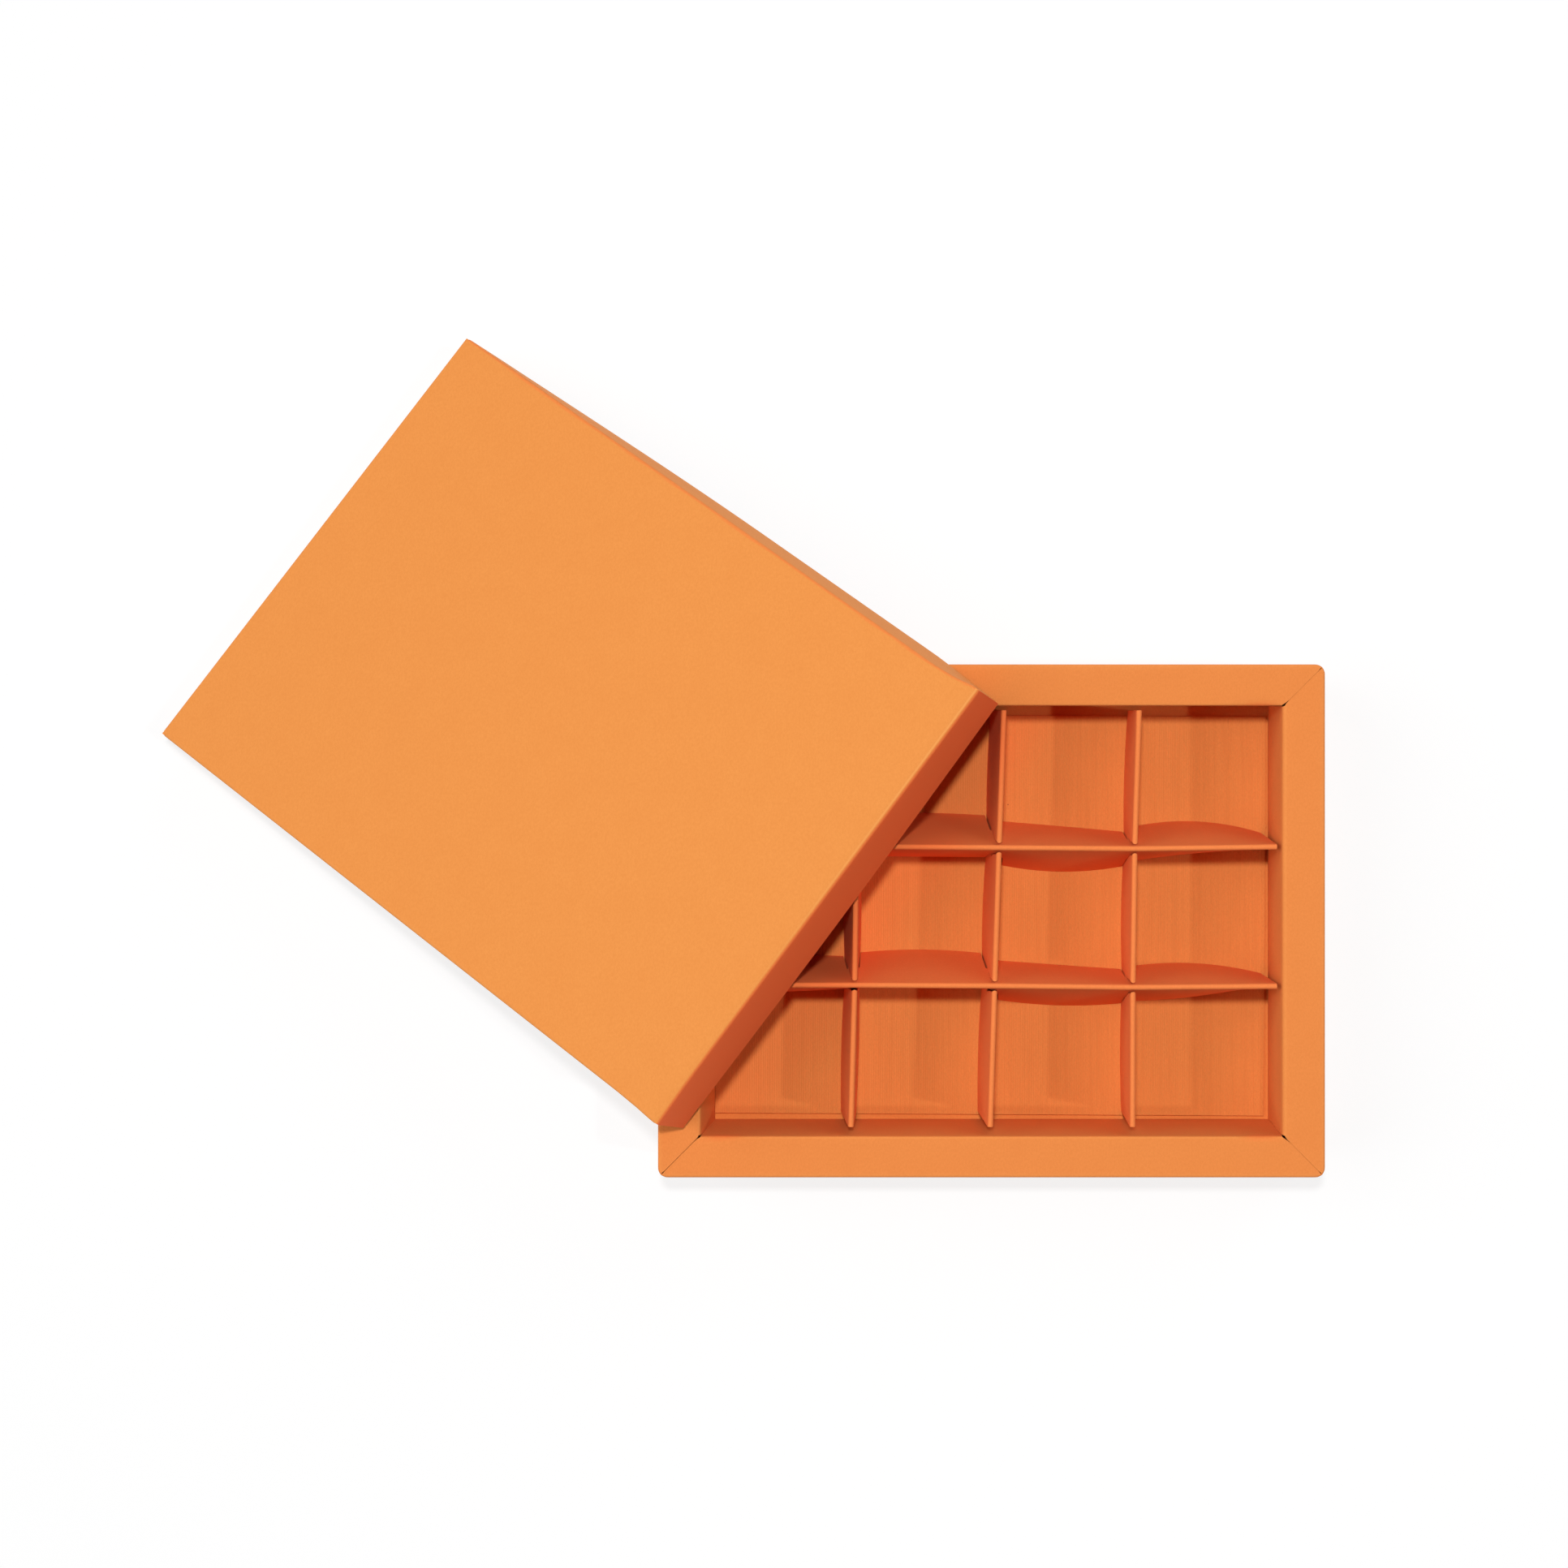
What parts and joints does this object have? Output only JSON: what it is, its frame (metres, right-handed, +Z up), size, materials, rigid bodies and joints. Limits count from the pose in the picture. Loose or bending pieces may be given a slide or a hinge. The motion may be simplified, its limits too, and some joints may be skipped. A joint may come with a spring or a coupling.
{
  "type": "chocolate box",
  "caption": "Open paperboard chocolate box: a frame tray with hollow walls, a ribbed floor pad and a crate of interlocking dividers, and a shallow lid leaning on it.",
  "frame": {"origin": "middle of the tray's underside", "axes": "+X along the tray's length, away from the lid; +Y to the tray's back; +Z up"},
  "size_m": [0.3221, 0.2359, 0.0573],
  "materials": {
    "orange_board": "matte uncoated paperboard, dyed through",
    "pad_card": "matte, fine ribs"
  },
  "bodies": {
    "base_tray": {"base_tray": "orange_board"},
    "cross_divider_left": {"cross_divider_left": "orange_board"},
    "cross_divider_middle": {"cross_divider_middle": "orange_board"},
    "cross_divider_right": {"cross_divider_right": "orange_board"},
    "floor_pad": {"floor_pad": "pad_card"},
    "lid": {"lid": "orange_board"},
    "long_divider_back": {"long_divider_back": "orange_board"},
    "long_divider_front": {"long_divider_front": "orange_board"}
  },
  "joints": [
    {"name": "lid_lift", "type": "slide", "parent": "base_tray", "child": "lid", "axis": [0, 0, 1], "range_m": [0, 0.2]},
    {"name": "cross_divider_left_lift", "type": "slide", "parent": "base_tray", "child": "cross_divider_left", "axis": [0, 0, 1], "range_m": [0, 0.1]},
    {"name": "cross_divider_middle_lift", "type": "slide", "parent": "base_tray", "child": "cross_divider_middle", "axis": [0, 0, 1], "range_m": [0, 0.1]},
    {"name": "cross_divider_right_lift", "type": "slide", "parent": "base_tray", "child": "cross_divider_right", "axis": [0, 0, 1], "range_m": [0, 0.1]},
    {"name": "floor_pad_lift", "type": "slide", "parent": "base_tray", "child": "floor_pad", "axis": [0, 0, 1], "range_m": [0, 0.05]},
    {"name": "long_divider_back_lift", "type": "slide", "parent": "base_tray", "child": "long_divider_back", "axis": [0, 0, 1], "range_m": [0, 0.15]},
    {"name": "long_divider_front_lift", "type": "slide", "parent": "base_tray", "child": "long_divider_front", "axis": [0, 0, 1], "range_m": [0, 0.15]}
  ],
  "couplings": [
    {"joint": "cross_divider_left_lift", "follows": "lid_lift", "ratio": 0.5},
    {"joint": "cross_divider_middle_lift", "follows": "lid_lift", "ratio": 0.5},
    {"joint": "cross_divider_right_lift", "follows": "lid_lift", "ratio": 0.5},
    {"joint": "floor_pad_lift", "follows": "lid_lift", "ratio": 0.25},
    {"joint": "long_divider_back_lift", "follows": "lid_lift", "ratio": 0.75},
    {"joint": "long_divider_front_lift", "follows": "lid_lift", "ratio": 0.75}
  ]
}
